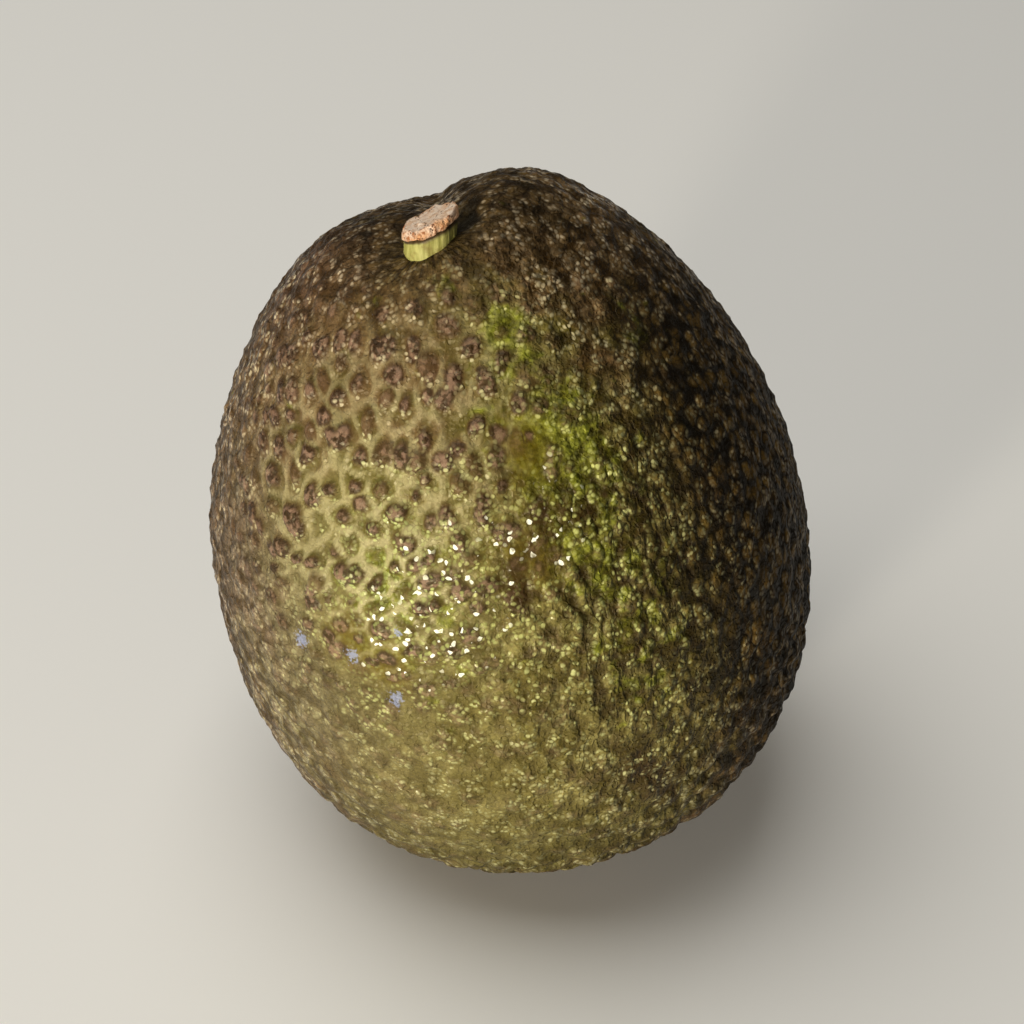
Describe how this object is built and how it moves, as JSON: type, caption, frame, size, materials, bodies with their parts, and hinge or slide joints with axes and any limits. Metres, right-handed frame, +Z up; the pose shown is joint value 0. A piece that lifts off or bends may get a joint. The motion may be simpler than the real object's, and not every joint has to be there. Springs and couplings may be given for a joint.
{
  "type": "avocado",
  "caption": "Whole ripening avocado: egg-shaped body with raised pebbled skin in green and purple-brown, and a short cut stem stub, standing on a small flat spot.",
  "frame": {"origin": "bottom centre of the bounding box, on the surface that the fruit stands on", "axes": "+Z up, from the blossom end to the stem end; -Y the side that the stem is nearer to; the long axis leans about 9 degrees towards -X"},
  "size_m": [0.068, 0.0672, 0.0865],
  "materials": {
    "skin": "raised pebbled fruit skin, waxy semi-gloss, green net between purple-brown pebbles",
    "stem": "matt green stalk with a dry tan corky cut end"
  },
  "bodies": {
    "root": {"fruit": "skin", "stem_stub": "stem"}
  },
  "joints": []
}
